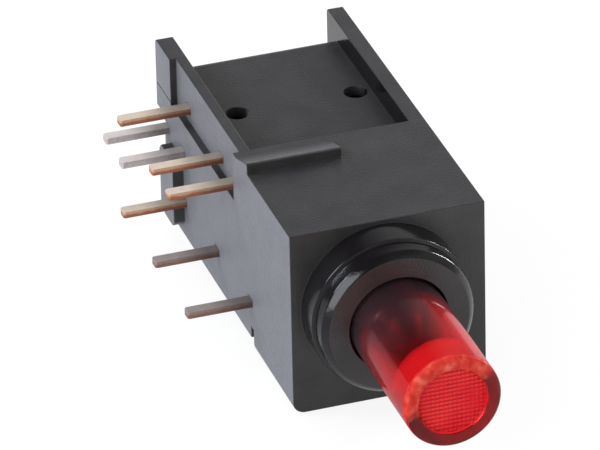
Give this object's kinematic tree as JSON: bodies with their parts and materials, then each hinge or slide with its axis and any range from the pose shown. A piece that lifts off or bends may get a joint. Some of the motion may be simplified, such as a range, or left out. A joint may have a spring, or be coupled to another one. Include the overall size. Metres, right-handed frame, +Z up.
{
  "type": "illuminated double-pole pushbutton switch",
  "caption": "Small black moulded pushbutton for a circuit board, lying on its side: round stepped collar, red light-pipe plunger that presses in, flat pins on one side.",
  "frame": {"origin": "on the plunger's axis, at the housing's front face, where the collar starts", "axes": "-Y is the way the plunger points, -X is the way the pins point, +Z is up as the part lies on its side"},
  "size_m": [0.0129, 0.0306, 0.0102],
  "materials": {
    "housing_plastic": "black moulded plastic, fine satin grain",
    "inner_plastic": "black moulded plastic, plain",
    "red_lens": "clear red moulded plastic, polished",
    "lamp_resin": "tinted cast resin",
    "tinned_copper": "tinned copper strip with bare sheared edges",
    "contact_bronze": "rolled spring bronze",
    "spring_steel": "drawn spring wire"
  },
  "bodies": {
    "frame": {"housing": "housing_plastic", "base": "inner_plastic", "lamp_holder": "inner_plastic", "lamp": "lamp_resin", "lamp_lead_anode": "tinned_copper", "lamp_lead_cathode": "tinned_copper", "lamp_terminal_anode": "tinned_copper", "lamp_terminal_cathode": "tinned_copper", "upper_closed_terminal": "tinned_copper", "upper_common_terminal": "tinned_copper", "upper_open_terminal": "tinned_copper", "lower_closed_terminal": "tinned_copper", "lower_common_terminal": "tinned_copper", "lower_open_terminal": "tinned_copper", "return_spring": "spring_steel"},
    "button": {"plunger": "red_lens", "slider": "inner_plastic", "upper_bridge": "contact_bronze", "lower_bridge": "contact_bronze"}
  },
  "joints": [
    {"name": "plunger_press", "type": "slide", "parent": "frame", "child": "button", "axis": [0, 1, 0], "range_m": [0, 0.0025], "stiffness_N_per_m": 400, "springref_m": -0.0025, "deforming": ["return_spring"]}
  ]
}
